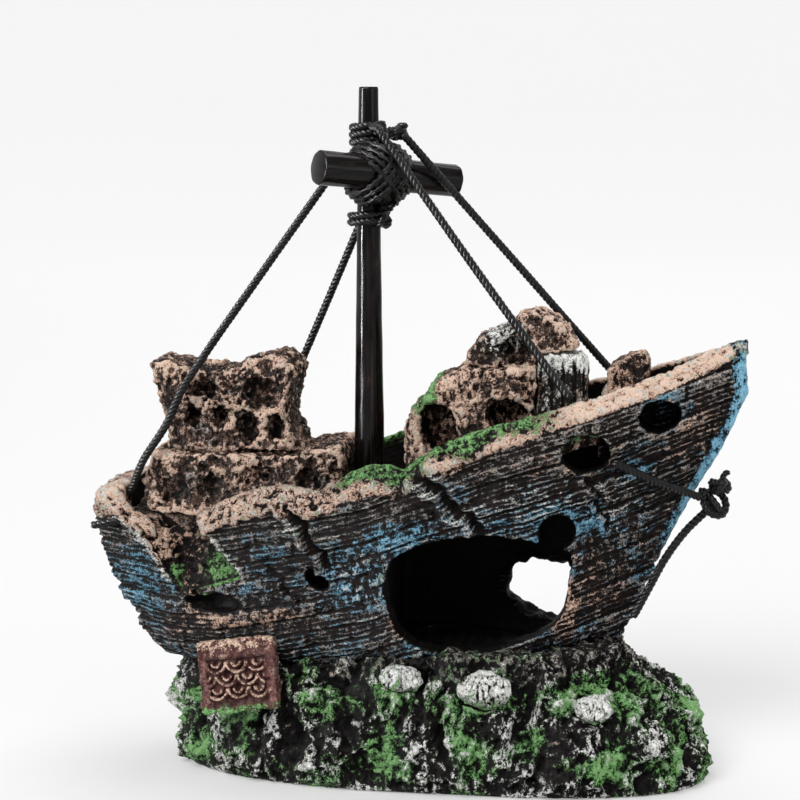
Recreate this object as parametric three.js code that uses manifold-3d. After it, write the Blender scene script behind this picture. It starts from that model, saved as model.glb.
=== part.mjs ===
// Sunken-ship ornament for an aquarium: cast rock base, broken hull, deck houses, mast, yard and rigging.
// Millimetres. +X points to the bow, -Y to starboard and +Z up; the origin is on the ground under the middle.

import Module from 'manifold-3d';
import * as THREE from 'three';
import { mergeVertices } from 'three/addons/utils/BufferGeometryUtils.js';

const wasm = await Module();
wasm.setup();

// Driving dimensions
const GAP = 0.3; // clearance between pieces that touch
const HULL_BOTTOM = 21;
const HULL_BEAM = 46.8;
const RAIL_WALL = 4.5; // wall thickness above the decks
const HOLD_WALL = 6; // wall thickness below the decks, which leaves a ledge for them
const RAIL_ROUNDING = 3; // how far the rail's outer edge falls away
const STERN_FLARE = 0.62; // breadth of the hull's bottom as a share of its breadth at the rail
const BASE_HEIGHT = 25;
const MAST_X = -9.9;
const MAST_FOOT_Z = 43;
const MAST_TOP_Z = 129;
const YARD_Z = 112.8;
const YARD_RADIUS = 3.2;
const YARD_HALF_LENGTH = 14.7;
const YARD_HEADING = THREE.MathUtils.degToRad(38); // from the ship's length, seen from above
const YARD_TILT = THREE.MathUtils.degToRad(5.5); // its forward end hangs lower
const CORD_RADIUS = 0.8;
const CORD_SIDES = 8;

// Radius of the tapered mast at a height
const mastRadius = (z) => THREE.MathUtils.mapLinear(z, MAST_FOOT_Z, MAST_TOP_Z, 3.3, 1.95);

// ---- Geometry helpers ----

// Smooth curve y(x) through a few [x, y] points
function through(points) {
  const slopes = points.map((_, i) => {
    const [x0, y0] = points[Math.max(i - 1, 0)];
    const [x1, y1] = points[Math.min(i + 1, points.length - 1)];
    return (y1 - y0) / (x1 - x0);
  });
  return (x) => {
    let i = 0;
    while (i < points.length - 2 && x > points[i + 1][0]) i += 1;
    const [x0, y0] = points[i];
    const [x1, y1] = points[i + 1];
    const h = x1 - x0;
    const s = THREE.MathUtils.clamp((x - x0) / h, 0, 1);
    const r = 1 - s;
    const straight = y0 * (1 + 2 * s) * r * r + y1 * (1 + 2 * r) * s * s;
    return straight + h * s * r * (slopes[i] * r - slopes[i + 1] * s);
  };
}

// A closed three.js geometry as a solid, whichever way its faces wind
function solid(geometry) {
  const bare = geometry.clone();
  bare.deleteAttribute('normal');
  bare.deleteAttribute('uv');
  const merged = mergeVertices(bare, 1e-4);
  const triVerts = Uint32Array.from(merged.index.array);
  const vertProperties = Float32Array.from(merged.attributes.position.array);
  const body = new wasm.Manifold(new wasm.Mesh({ numProp: 3, vertProperties, triVerts }));
  if (body.volume() > 0) return body;
  triVerts.reverse();
  return new wasm.Manifold(new wasm.Mesh({ numProp: 3, vertProperties, triVerts }));
}

function geometryOf(body) {
  const mesh = body.getMesh();
  const geometry = new THREE.BufferGeometry();
  geometry.setAttribute('position', new THREE.BufferAttribute(mesh.vertProperties, 3));
  geometry.setIndex(new THREE.BufferAttribute(mesh.triVerts, 1));
  geometry.computeVertexNormals();
  return geometry;
}

// Skin over a row of rings with equal point counts; an open row ends in flat ladders, a joined row is a hoop
function loft(rings, joined = false) {
  const count = rings[0].length;
  const index = [];
  const quad = (a, b, c, d) => index.push(a, b, c, a, c, d);
  const spans = joined ? rings.length : rings.length - 1;
  for (let i = 0; i < spans; i += 1) {
    const here = i * count;
    const next = ((i + 1) % rings.length) * count;
    for (let j = 0; j < count; j += 1) {
      const k = (j + 1) % count;
      quad(here + j, here + k, next + k, next + j);
    }
  }
  if (!joined) {
    const last = (rings.length - 1) * count;
    for (let j = 0; j < count / 2 - 1; j += 1) {
      quad(j + 1, j, count - 1 - j, count - 2 - j);
      quad(last + j, last + j + 1, last + count - 2 - j, last + count - 1 - j);
    }
  }
  const geometry = new THREE.BufferGeometry();
  geometry.setAttribute('position', new THREE.Float32BufferAttribute(rings.flat(2), 3));
  geometry.setIndex(index);
  return solid(geometry);
}

const shapeOf = (points) => new THREE.Shape(points.map(([x, y]) => new THREE.Vector2(x, y)));

// Side-view outline in X and Z, run from one Y to another
function sideSlab(points, yLow, yHigh) {
  const geometry = new THREE.ExtrudeGeometry(shapeOf(points), { depth: yHigh - yLow, bevelEnabled: false });
  return solid(geometry.rotateX(Math.PI / 2).translate(0, yHigh, 0));
}

// Round-cornered block seen from above, run from one Z to another
function planBlock(xLow, xHigh, yLow, yHigh, zLow, zHigh, corner) {
  const shape = new THREE.Shape();
  shape.moveTo(xLow + corner, yLow);
  shape.lineTo(xHigh - corner, yLow);
  shape.quadraticCurveTo(xHigh, yLow, xHigh, yLow + corner);
  shape.lineTo(xHigh, yHigh - corner);
  shape.quadraticCurveTo(xHigh, yHigh, xHigh - corner, yHigh);
  shape.lineTo(xLow + corner, yHigh);
  shape.quadraticCurveTo(xLow, yHigh, xLow, yHigh - corner);
  shape.lineTo(xLow, yLow + corner);
  shape.quadraticCurveTo(xLow, yLow, xLow + corner, yLow);
  const options = { depth: zHigh - zLow, bevelEnabled: false, curveSegments: 4 };
  return solid(new THREE.ExtrudeGeometry(shape, options).translate(0, 0, zLow));
}

// Elliptical hole run along Y; a negative Y end cuts in from starboard
function sideHole(x, z, radiusX, radiusZ, yLow, yHigh, tilt = 0) {
  const shape = new THREE.Shape();
  shape.absellipse(x, z, radiusX, radiusZ, 0, Math.PI * 2, false, tilt);
  const options = { depth: yHigh - yLow, bevelEnabled: false, curveSegments: 8 };
  return solid(new THREE.ExtrudeGeometry(shape, options).rotateX(Math.PI / 2).translate(0, yHigh, 0));
}

// Rounded hollow or lump
function ball(x, y, z, radiusX, radiusY, radiusZ, turn = 0) {
  const geometry = new THREE.SphereGeometry(1, 10, 7).scale(radiusX, radiusY, radiusZ);
  return solid(geometry.rotateY(turn).translate(x, y, z));
}

// Upright cylinder or cone between two heights
function post(x, y, zLow, zHigh, radiusLow, radiusHigh, sides) {
  const geometry = new THREE.CylinderGeometry(radiusHigh, radiusLow, zHigh - zLow, sides);
  return solid(geometry.rotateX(Math.PI / 2).translate(x, y, (zLow + zHigh) / 2));
}

// Cylinder lying along Y
function yPost(x, z, yLow, yHigh, radius, sides) {
  const geometry = new THREE.CylinderGeometry(radius, radius, yHigh - yLow, sides);
  return solid(geometry.translate(x, (yLow + yHigh) / 2, z));
}

function cordAlong(points, steps) {
  const shape = new THREE.Shape();
  for (let i = 0; i < CORD_SIDES; i += 1) {
    const angle = (i * 2 * Math.PI) / CORD_SIDES;
    const corner = [CORD_RADIUS * Math.cos(angle), CORD_RADIUS * Math.sin(angle)];
    if (i === 0) shape.moveTo(...corner);
    else shape.lineTo(...corner);
  }
  shape.closePath();
  const extrudePath = new THREE.CatmullRomCurve3(points.map((p) => new THREE.Vector3(...p)));
  return solid(new THREE.ExtrudeGeometry(shape, { steps, extrudePath }));
}

// Wound band of cord: an elliptical hoop whose flat section is `width` across and `thickness` deep.
// `long` and `short` are the hoop's half-axis vectors.
function windingHoop(centre, long, short, width, thickness, steps) {
  const across = new THREE.Vector3().crossVectors(long, short).normalize();
  const rings = [];
  for (let i = 0; i < steps; i += 1) {
    const angle = (i * 2 * Math.PI) / steps;
    const out = long.clone().multiplyScalar(Math.cos(angle)).addScaledVector(short, Math.sin(angle));
    const away = out.clone().normalize();
    const ring = [];
    for (let j = 0; j < 8; j += 1) {
      const turn = ((j + 0.5) * Math.PI) / 4;
      const point = centre.clone().add(out);
      point.addScaledVector(away, (Math.cos(turn) * thickness) / 2);
      point.addScaledVector(across, (Math.sin(turn) * width) / 2);
      ring.push(point.toArray());
    }
    rings.push(ring);
  }
  return loft(rings, true);
}

// ---- Hull form ----

const railHeight = through([
  [-61, 53], [-52, 54], [-40, 50.5], [-32, 54], [-22, 56.4], [-16, 55.3], [-10, 59.2], [-5, 60.9],
  [0.5, 60], [3.5, 63], [8, 65.3], [15, 67.6], [28, 71.2], [40, 74.8], [50, 78.4], [60, 82.6],
]);
const halfBeam = through([
  [0, 0.5], [0.06, 0.68], [0.2, 0.89], [0.4, 0.99], [0.5, 1], [0.62, 0.96], [0.72, 0.85], [0.82, 0.63],
  [0.91, 0.35], [0.97, 0.13], [1, 0.04],
]);
const sternProfile = through([[0, -48.5], [0.17, -52.5], [0.45, -56.6], [0.73, -60], [1, -60.9]]);
const stemProfile = through([
  [0, 35.6], [0.15, 40.9], [0.41, 47], [0.55, 51.3], [0.79, 59.2], [0.88, 61.1], [1, 60.6],
]);
const HULL_LENGTH = stemProfile(1) - sternProfile(1);
const HULL_LEVELS = [0, 0.1, 0.22, 0.4, 0.55, 0.7, 0.88, 1];
const HULL_STATIONS = 36;

// Solid hull, shrunk by `inset` on every side; it is cut at `extraTop` above the rail where that is given,
// and otherwise ends in the rail's rounded-off edge
function hullBody({ inset = 0, bottom = HULL_BOTTOM, bowInset = inset, extraTop = null }) {
  const first = inset / HULL_LENGTH;
  const last = 1 - bowInset / HULL_LENGTH;
  const rings = [];
  for (let i = 0; i <= HULL_STATIONS; i += 1) {
    const along = THREE.MathUtils.lerp(first, last, i / HULL_STATIONS);
    const side = HULL_LEVELS.map((level) => {
      const x = THREE.MathUtils.lerp(sternProfile(level), stemProfile(level), along);
      const rail = railHeight(THREE.MathUtils.lerp(sternProfile(1), stemProfile(1), along)) - RAIL_ROUNDING;
      const flare = STERN_FLARE + (1 - STERN_FLARE) * level ** 0.6;
      const y = Math.max((HULL_BEAM / 2) * halfBeam(along) * flare - inset, 0.35);
      return [x, y, THREE.MathUtils.lerp(bottom, rail, level)];
    });
    const [x, y, z] = side[side.length - 1];
    if (extraTop === null) side.push([x, Math.max(y - RAIL_ROUNDING, 0.3), z + RAIL_ROUNDING]);
    else side.push([x, y, z + RAIL_ROUNDING + extraTop]);
    const starboard = side.map(([px, py, pz]) => [px, -py, pz]);
    rings.push([...starboard, ...side.reverse()]);
  }
  return loft(rings);
}

// ---- Decks: each is [x at its after end, x at its forward end, top z after, top z forward] ----

const DECK_THICKNESS = 2.6;
const DECKS = {
  quarterdeck: [-56, -14.3, 49, 49],
  waist_deck: [-14, -2.3, 52, 52],
  foredeck: [-2, 34.2, 57, 67],
};
const BOW_FLOOR = [34.5, 53, 72.2, 74.5];
const HOLD_AFT_X = -5;
const HOLD_FLOOR_Z = 24.5;

const foredeckTop = (x) => THREE.MathUtils.mapLinear(x, -2, 34.2, 57, 67);

function deckSlab([aft, fore, topAft, topFore]) {
  const outline = [
    [aft, topAft - DECK_THICKNESS],
    [fore, topFore - DECK_THICKNESS],
    [fore, topFore],
    [aft, topAft],
  ];
  return sideSlab(outline, -HULL_BEAM, HULL_BEAM);
}

// Space over one deck's seat, open upwards
function deckWell([aft, fore, topAft, topFore], seat) {
  const drop = seat + GAP;
  const outline = [
    [aft - GAP / 2, topAft - drop],
    [fore + GAP / 2, topFore - drop],
    [fore + GAP / 2, 120],
    [aft - GAP / 2, 120],
  ];
  return sideSlab(outline, -HULL_BEAM, HULL_BEAM);
}

// Broken-away starboard quarter: a slanted gap whose floor climbs inboard as a bank of silt
function quarterBreak() {
  const skin = [[-43.4, 34.8], [-30.4, 38.9], [-39.4, 49.8], [-31, 57], [-62, 62], [-61, 51.8],
    [-51.2, 46.6]];
  const skinY = [-15.5, -16.5, -15.5, -15.5, -12.4, -12.4, -14.8];
  const inner = [[-44.4, -9.6, 45], [-33, -8.5, 48.6], [-39.5, -8.5, 50.5], [-38, -8.5, 60],
    [-56.6, -8.8, 62], [-56, -9.4, 54], [-49, -9.6, 50]];
  const outer = skin.map(([x, z]) => [x, -28, z]);
  const middle = skin.map(([x, z], k) => [x, skinY[k], z]);
  return loft([outer, middle, inner]);
}

// Cave mouth to starboard and the smaller one to port
function caveMouth() {
  const points = [[-4.3, 38], [-2.5, 44], [5, 47.2], [15, 48.4], [28.5, 45], [29, 39], [27, 30.5],
    [19.5, 26.6], [8, 24.9], [-1.5, 28.5]];
  const curve = new THREE.SplineCurve([...points, points[0]].map(([x, z]) => new THREE.Vector2(x, z)));
  const outline = curve.getPoints(24).slice(0, -1).map((p) => [p.x, p.y]);
  return sideSlab(outline, -30, -3);
}

const mastSocket = () => post(MAST_X, 0, MAST_FOOT_Z - GAP, 60, 3.6, 3.6, 12);

function hull() {
  const railWell = hullBody({ inset: RAIL_WALL, bowInset: 8, extraTop: 8 });
  const hold = hullBody({ inset: HOLD_WALL, bowInset: 12, extraTop: 8 });
  const holdOutline = [[HOLD_AFT_X, HOLD_FLOOR_Z], [34, HOLD_FLOOR_Z], [34, 65], [-1.8, 55], [-2, 50],
    [HOLD_AFT_X, 50]];
  let body = hullBody({});
  const wells = Object.values(DECKS).map((deck) => deckWell(deck, DECK_THICKNESS));
  wells.push(deckWell(BOW_FLOOR, 0));
  wells.forEach((well) => {
    body = body.subtract(railWell.intersect(well));
  });
  body = body.subtract(hold.intersect(sideSlab(holdOutline, -30, 30)));
  const cuts = [
    quarterBreak(),
    caveMouth(),
    mastSocket(),
    sideHole(24, 33, 8.4, 5.8, 3, 30), // port cave mouth
    sideHole(45, 69.6, 3.9, 3.1, -30, -3.5), // hawse hole in the bow
    sideHole(32, 63.4, 4.4, 3.6, -30, -8.5), // hole the bow line comes out of
    sideHole(26.9, 48.5, 3.4, 3.5, -30, -8), // hole above the cave mouth
    sideHole(-16.6, 39.5, 2.6, 1.6, -30, -16, -0.7), // split between planks
    ball(-37, -17.5, 33.8, 6, 4, 2.2, 0.05), // hollow under the silt bank
    post(AIR_X, AIR_Y, HULL_BOTTOM - 1, HOLD_FLOOR_Z + 1, 3.4, 3.4, 12), // bubbles rise through the floor
  ];
  cuts.forEach((cut) => {
    body = body.subtract(cut);
  });
  return body;
}

function deck(name) {
  const inside = hullBody({ inset: RAIL_WALL + GAP, bowInset: 8 + GAP, extraTop: 8 });
  let slab = inside.intersect(deckSlab(DECKS[name]));
  if (name === 'quarterdeck') slab = slab.subtract(quarterBreak());
  if (name === 'waist_deck') slab = slab.subtract(mastSocket());
  return slab;
}

// ---- Deck houses ----

function sternTier() {
  const outline = [[-51.3, 49.3], [-51.9, 55], [-50.4, 58.4], [-50, 60.8], [-22, 60.6], [-17, 62],
    [-14.2, 62.5], [-13.6, 60], [-14.6, 54], [-16.5, 49.3]];
  let body = sideSlab(outline, -11, 12.5).intersect(planBlock(-52.5, -13, -10.6, 10.8, 49, 64, 5));
  [[-46, 53.5, 4], [-38.5, 54.5, 3], [-29, 56.2, 4.2], [-19.5, 56.6, 3]].forEach(([x, z, size]) => {
    body = body.subtract(ball(x, -11.5, z, size, 2.6, 3.1));
  });
  return body;
}

function sternCabin() {
  const outline = [[-47.4, 61.2], [-47, 66.4], [-49, 70], [-49.8, 74], [-51, 77.6], [-46.4, 77.4],
    [-42.5, 76], [-35.4, 76], [-31.8, 78], [-27.4, 79.2], [-25, 78.4], [-22.8, 76], [-24.2, 72.4],
    [-25, 67.4], [-22.6, 61.2]];
  const recesses = [[-40.2, 72.6, 3.4, 2.4], [-42.4, 67.6, 1.9, 2.4], [-37.2, 67.8, 2.2, 2.6],
    [-29, 72.2, 4.4, 3.4], [-26.6, 65.8, 2.2, 3], [-32, 65.6, 2.8, 3.4]];
  let body = sideSlab(outline, -9, 10).intersect(planBlock(-51.5, -22, -8, 8, 60, 81, 4));
  recesses.forEach(([x, z, radiusX, radiusZ]) => {
    body = body.subtract(ball(x, -8.6, z, radiusX, 4, radiusZ));
  });
  return body;
}

function forecastle() {
  const foot = (x) => Math.max(foredeckTop(x) + GAP, 57.3);
  const outline = [[-1.9, foot(-1.9)], [-2, 66], [-0.3, 70], [2.2, 72], [3, 74.4], [6.8, 75.7],
    [9.2, 77.4], [22, 77.4], [22, foot(22)]];
  let body = sideSlab(outline, -10, 11).intersect(planBlock(-2.2, 22.3, -9, 10, 55, 80, 3.5));
  body = body.subtract(sideHole(4.4, 65.8, 3.9, 5.6, -12, -3, 0.2));
  body = body.subtract(sideHole(17.2, 68.9, 3.9, 3.6, -12, -3));
  return body;
}

function forecastleCabin() {
  const outline = [[8.9, 77.7], [10.5, 81.6], [11.8, 83], [15, 84.4], [17.3, 85.2], [19.1, 87], [21.9, 88],
    [24.9, 86.6], [27.8, 84.6], [29.2, 82], [29.4, 80.8], [22.4, 80.4], [22.2, 77.7]];
  let body = sideSlab(outline, -8, 8).intersect(planBlock(8.6, 29.6, -6.5, 5.6, 77, 89, 4));
  body = body.subtract(ball(18.4, -6.6, 80.6, 3.7, 4, 3.2));
  return body;
}

function crate() {
  const outline = [[22.6, foredeckTop(22.6) + GAP], [22.6, 79.4], [24.6, 80], [30.2, 80], [31.5, 78],
    [31.6, 75], [31.2, foredeckTop(31.2) + GAP]];
  return sideSlab(outline, -8, 4).intersect(planBlock(22.5, 31.7, -7.4, 3.4, 60, 81, 1.8));
}

function bowBitt() {
  const outline = [[35.4, 72.6], [35.2, 76.6], [37.2, 78.6], [39.2, 79.8], [42.2, 80.5], [43, 78.6],
    [43, 73.5]];
  return sideSlab(outline, -4, 4).intersect(planBlock(35, 43.2, -3.2, 3.2, 72, 81, 1.6));
}

// ---- Base, plaque, stones and air inlet ----

const AIR_X = 3;
const AIR_Y = 5;
const AIR_Z = 11;
const AIR_POCKET_Y = 13;
const BASE_LEVELS = [
  // z, left end, right end, half depth
  [0, -46, 55.2, 21],
  [4, -46.6, 54.8, 21.6],
  [9, -46.2, 53.8, 21.3],
  [12.5, -48.6, 51.6, 21],
  [17, -46.6, 46.2, 19.8],
  [21, -43.4, 41, 18.4],
  [BASE_HEIGHT, -41.5, 38, 16.8],
];
// Powers that fill each end of the outline out from an ellipse towards a rounded rectangle
const BASE_SQUARENESS = { aft: 0.84, fore: 0.72 };
const BASE_POINTS = 44;

function baseMound() {
  const rings = BASE_LEVELS.map(([z, left, right, depth]) => {
    const ring = [];
    for (let i = 0; i < BASE_POINTS; i += 1) {
      const angle = (i * 2 * Math.PI) / BASE_POINTS;
      const ridge = z === 0 ? 0 : Math.sin(11 * angle + z * 0.25) + 0.6 * Math.sin(17 * angle - z * 0.4);
      const squareness = Math.cos(angle) < 0 ? BASE_SQUARENESS.aft : BASE_SQUARENESS.fore;
      const bulge = (value) => Math.sign(value) * Math.abs(value) ** squareness;
      const x = (left + right) / 2 + ((right - left) / 2 + 0.5 * ridge) * bulge(Math.cos(angle));
      const y = (depth + 0.6 * ridge) * bulge(Math.sin(angle));
      ring.push([x, y, z]);
    }
    return ring;
  });
  return loft(rings);
}

const plaqueFrame = new THREE.Matrix4()
  .makeRotationFromEuler(new THREE.Euler(THREE.MathUtils.degToRad(-12), THREE.MathUtils.degToRad(-7), 0))
  .setPosition(-31.2, -20.5, 21.2);

// Slab with a raised border, in its own upright frame, with its face to starboard
function plaque(grow = 0) {
  const slab = new THREE.BoxGeometry(14.4 + 2 * grow, 3.4 + 2 * grow, 13 + 2 * grow);
  let body = solid(slab.applyMatrix4(plaqueFrame));
  if (grow === 0) {
    const field = new THREE.BoxGeometry(11.6, 1, 8.2).translate(0, -1.7, -1);
    body = body.subtract(solid(field.applyMatrix4(plaqueFrame)));
  }
  return body;
}

const STONES = {
  white_stone_front: [14.4, -19.6, 19.8, 5.2, 3, 3.6],
  white_stone_left: [-1.4, -18.6, 21, 4.4, 2.6, 2.6],
  white_stone_right: [34, -17.6, 16.4, 3.4, 2.4, 2.8],
};

function stone([x, y, z, radiusX, radiusY, radiusZ], grow = 0) {
  const geometry = new THREE.IcosahedronGeometry(1, 1).rotateY(x);
  return solid(geometry.scale(radiusX + grow, radiusY + grow, radiusZ + grow).translate(x, y, z));
}

function base() {
  let body = baseMound().subtract(hullBody({ inset: -GAP, bottom: HULL_BOTTOM - GAP, extraTop: 8 }));
  const cuts = [
    plaque(GAP),
    ...Object.values(STONES).map((place) => stone(place, GAP)),
    post(AIR_X, AIR_Y, AIR_Z - 4, HULL_BOTTOM, 5, 5, 14), // well for the air stone
    yPost(AIR_X, AIR_Z, AIR_Y, AIR_POCKET_Y + 1, 2.6, 10), // channel for the air pipe
    yPost(AIR_X, AIR_Z, AIR_POCKET_Y, 30, 5.5, 14), // pocket round the nipple, open at the back
  ];
  cuts.forEach((cut) => {
    body = body.subtract(cut);
  });
  return body;
}

function airStone() {
  const profile = [[0, 0], [3.6, 0], [4.4, 0.8], [4.4, 11.4], [3.6, 12.4], [0, 12.4]];
  const geometry = new THREE.LatheGeometry(profile.map(([r, y]) => new THREE.Vector2(r, y)), 14);
  const body = solid(geometry.rotateX(Math.PI / 2).translate(AIR_X, AIR_Y, AIR_Z - 3.7));
  return body.subtract(yPost(AIR_X, AIR_Z, AIR_Y + 1, AIR_Y + 8, 2.3 + GAP, 10));
}

// Pipe from the air stone to the pocket at the back, with a barbed end for an air hose
function airNipple() {
  const start = AIR_Y + 1.4;
  const barbs = [[2.3, 1.6], [1.5, 2], [2.4, 4], [1.5, 4.2], [2.2, 6.2], [1.1, 6.6]];
  const profile = [[1.1, start], [2.3, start], ...barbs.map(([r, y]) => [r, AIR_POCKET_Y + y])];
  const ring = [...profile, profile[0]].map(([r, y]) => new THREE.Vector2(r, y));
  return solid(new THREE.LatheGeometry(ring, 12).translate(AIR_X, 0, AIR_Z));
}

// ---- Mast, yard and cordage ----

const mastCentre = new THREE.Vector3(MAST_X, 0, YARD_Z);
const yardAlong = new THREE.Vector3(Math.cos(YARD_HEADING), Math.sin(YARD_HEADING), 0);
// Across the yard, from the mast to it
const yardOut = new THREE.Vector3(Math.sin(YARD_HEADING), -Math.cos(YARD_HEADING), 0);
const YARD_OFFSET = mastRadius(YARD_Z) + GAP + YARD_RADIUS;
const YARD_SHIFT = 1; // the yard's middle lies this far forward of the mast

function mast() {
  return post(MAST_X, 0, MAST_FOOT_Z, MAST_TOP_Z, mastRadius(MAST_FOOT_Z), mastRadius(MAST_TOP_Z), 10);
}

function yard(radius = YARD_RADIUS, halfLength = YARD_HALF_LENGTH) {
  const geometry = new THREE.CylinderGeometry(radius * 0.96, radius * 1.03, 2 * halfLength, 10);
  geometry.rotateZ(-Math.PI / 2).rotateY(YARD_TILT);
  geometry.translate(YARD_SHIFT, -YARD_OFFSET, 0).rotateZ(YARD_HEADING);
  return solid(geometry.translate(MAST_X, 0, YARD_Z));
}

// Space round the mast that its windings keep clear
const mastClearance = () => post(MAST_X, 0, 100, 125, mastRadius(100) + GAP, mastRadius(125) + GAP, 16);

// Diagonal turns round the mast and the yard
function yardLashing() {
  const back = -(mastRadius(YARD_Z) + GAP + 0.7);
  const front = YARD_OFFSET + YARD_RADIUS + GAP + 0.6;
  const centre = mastCentre.clone().addScaledVector(yardOut, (back + front) / 2);
  const long = yardOut.clone().multiplyScalar((front - back) / 2);
  const short = yardAlong.clone().multiplyScalar(3.9).setZ(-4.2);
  const band = windingHoop(centre, long, short, 4.6, 1.7, 20);
  return band.subtract(mastClearance()).subtract(yard(YARD_RADIUS + GAP / 2, 30));
}

// Turns round the mast alone
function hitch(z, width, thickness) {
  const radius = mastRadius(z) + GAP + thickness / 2;
  const long = new THREE.Vector3(radius, 0, 0);
  const short = new THREE.Vector3(0, radius, 0);
  const band = windingHoop(new THREE.Vector3(MAST_X, 0, z), long, short, width, thickness, 14);
  return band.subtract(mastClearance());
}

// Turns at the masthead, with the two ends that lead out to the knot and to the forward starboard stay
function mastheadHitch() {
  const toStay = cordAlong([[-9.6, -3.2, 120.2], [-7.1, -6.8, 120.7]], 1);
  const toKnot = cordAlong([[-8, -2.4, 120.2], [-5.4, -3.4, 120.2]], 1);
  const band = hitch(120.2, 2.6, 1.6).add(toStay).add(toKnot);
  return band.subtract(mastClearance()).subtract(mastheadKnot(GAP));
}

const mastheadKnot = (grow = 0) => ball(-4, -4.2, 119.6, 2.2 + grow, 1.5 + grow, 1.4 + grow);

const CORDS = {
  stay_aft_starboard: [[-54.3, -8.4, 53.7], [-51, -12.4, 59.5], [-46.3, -12.4, 66.7],
    [-43.2, -11.6, 73.5], [-40, -10.6, 78.5], [-28.9, -7.9, 94.6], [-14.4, -4, 115.4]],
  stay_aft_port: [[-13, 3.9, 101.6], [-24.8, 10.8, 76.6], [-35.6, 14.6, 53.2]],
  stay_fore_starboard: [[-6.5, -7.8, 120.5], [11.3, -11.2, 96.2], [28.9, -14.2, 73]],
  stay_fore_port: [[-1.2, -5.4, 118.6], [17, 3.4, 96.9], [35.2, 11.6, 75.4]],
  stern_cord_end: [[-57.4, -14.8, 47.8], [-60.5, -14.9, 47.4]],
  bow_line: [[37, -15.6, 61.8], [40.8, -13.6, 59.8], [45.2, -10.4, 57.4], [49.6, -6.6, 55.2],
    [52.8, -4, 53.6]],
  stem_line: [[54.2, -1.9, 51], [50.2, -2.9, 47], [46.6, -3.8, 42], [43.6, -4.9, 36.4],
    [40.8, -5.9, 31]],
};
const CORD_STEPS = { stay_aft_starboard: 18, bow_line: 8, stem_line: 8, stern_cord_end: 1 };

// Loose double loop of cord hanging on the stem
function bowKnot() {
  const loops = [
    [[56.2, -2.4, 55.2], [1.2, 0, 2.8], [0.4, 1.7, 0]],
    [[55.6, -2.4, 52.6], [1.6, 0, -1.4], [0.2, 1.8, 0]],
  ];
  const [upper, lower] = loops.map((sizes) => {
    const [centre, long, short] = sizes.map((xyz) => new THREE.Vector3(...xyz));
    return windingHoop(centre, long, short, 1.7, 1.7, 12);
  });
  return upper.add(lower);
}

// ---- Assembly ----

const finish = (color, roughness, metalness = 0) => ({ color, roughness, metalness });
const FINISHES = {
  rock: finish(0x2f3a2b, 0.75),
  hull: finish(0x39464f, 0.7),
  deck: finish(0x4a4038, 0.75),
  house: finish(0x8f6d5c, 0.75),
  crate: finish(0xb9b3a8, 0.75),
  plaque: finish(0x6e3a35, 0.6),
  stone: finish(0xd8d6cc, 0.8),
  spar: finish(0x1c1a1a, 0.35),
  cord: finish(0x121212, 0.5),
  air: finish(0x8a8f92, 0.8),
};

const ornament = new THREE.Group();

function place(name, finishName, body) {
  const mesh = new THREE.Mesh(geometryOf(body), new THREE.MeshStandardMaterial(FINISHES[finishName]));
  mesh.name = name;
  ornament.add(mesh);
}

place('rock_base', 'rock', base());
place('hull', 'hull', hull());
Object.keys(DECKS).forEach((name) => place(name, 'deck', deck(name)));
place('stern_tier', 'house', sternTier());
place('stern_cabin', 'house', sternCabin());
place('forecastle', 'house', forecastle());
place('forecastle_cabin', 'house', forecastleCabin());
place('crate', 'crate', crate());
place('bow_bitt', 'house', bowBitt());
place('plaque', 'plaque', plaque());
Object.entries(STONES).forEach(([name, at]) => place(name, 'stone', stone(at)));
place('air_stone', 'air', airStone());
place('air_nipple', 'air', airNipple());
place('mast', 'spar', mast());
place('yard', 'spar', yard());
place('yard_lashing', 'cord', yardLashing());
place('masthead_hitch', 'cord', mastheadHitch());
place('lower_hitch', 'cord', hitch(104.6, 1.8, 1.5));
place('masthead_knot', 'cord', mastheadKnot());
Object.entries(CORDS).forEach(([name, route]) => {
  place(name, 'cord', cordAlong(route, CORD_STEPS[name] ?? 4));
});
place('bow_knot', 'cord', bowKnot());

export default ornament;
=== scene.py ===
"""The looks of a cast resin shipwreck ornament for an aquarium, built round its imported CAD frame.

Lengths inside this script are in millimetres until a mesh is written, because the ornament is small.
Resin parts are fine-meshed copies of their CAD nodes, carved by noise and painted by dry-brushed layers.
"""

import math

import bpy
import numpy as np
from mathutils import Matrix, Vector, noise


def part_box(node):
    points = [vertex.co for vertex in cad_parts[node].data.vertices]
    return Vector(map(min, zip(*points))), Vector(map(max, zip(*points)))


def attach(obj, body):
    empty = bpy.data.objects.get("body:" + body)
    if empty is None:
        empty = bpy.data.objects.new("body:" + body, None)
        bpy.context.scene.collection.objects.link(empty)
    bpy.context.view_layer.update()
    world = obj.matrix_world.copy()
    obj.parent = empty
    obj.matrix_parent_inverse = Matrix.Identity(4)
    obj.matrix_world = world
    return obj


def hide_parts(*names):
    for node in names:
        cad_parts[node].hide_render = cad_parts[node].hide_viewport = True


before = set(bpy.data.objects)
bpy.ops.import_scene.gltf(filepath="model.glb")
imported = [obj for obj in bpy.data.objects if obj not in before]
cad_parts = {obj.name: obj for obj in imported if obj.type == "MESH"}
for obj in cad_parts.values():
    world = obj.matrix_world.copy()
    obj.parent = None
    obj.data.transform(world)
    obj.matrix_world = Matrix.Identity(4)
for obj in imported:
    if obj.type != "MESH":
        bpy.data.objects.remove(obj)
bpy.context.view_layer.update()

MM = 0.001
PER_MM = 1000.0
TAU = 2 * math.pi


def box_mm(node):
    """Lowest and highest corner of a CAD node, in millimetres."""
    low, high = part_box(node)
    return np.array(low) * PER_MM, np.array(high) * PER_MM


def linked(name, data):
    """A new object in the scene that holds a mesh, a camera or a light."""
    made = bpy.data.objects.new(name, data)
    bpy.context.collection.objects.link(made)
    return made


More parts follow.
